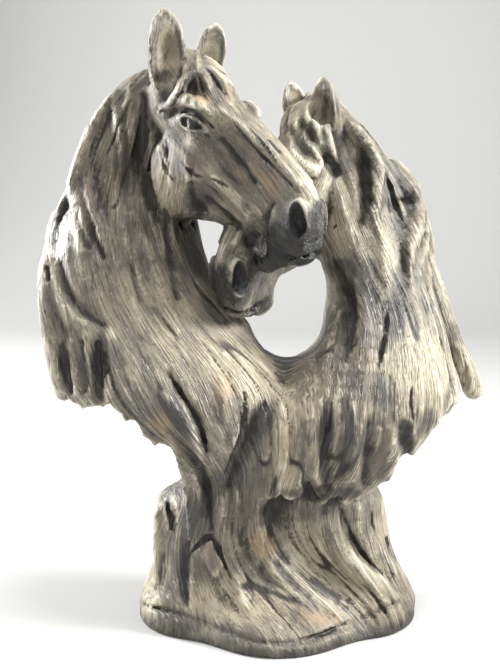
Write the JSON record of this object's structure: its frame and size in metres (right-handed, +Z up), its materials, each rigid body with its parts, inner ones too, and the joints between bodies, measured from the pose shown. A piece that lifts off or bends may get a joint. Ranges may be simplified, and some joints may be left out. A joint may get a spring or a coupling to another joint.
{
  "type": "double horse head statue",
  "caption": "Bust of two nuzzling horses on a flared stump, cast in one piece in resin with a driftwood finish; long ragged shoulders and manes.",
  "frame": {"origin": "middle of the bounding box on the flat underside", "axes": "+Z up through the heads, +X to the right of the picture's view, -Y towards the viewer"},
  "size_m": [0.3176, 0.148, 0.4308],
  "materials": {
    "horse_pair_casting": "satin painted cast resin, driftwood grey and cream"
  },
  "bodies": {
    "root": {"horse_pair_casting": "horse_pair_casting"}
  },
  "joints": []
}
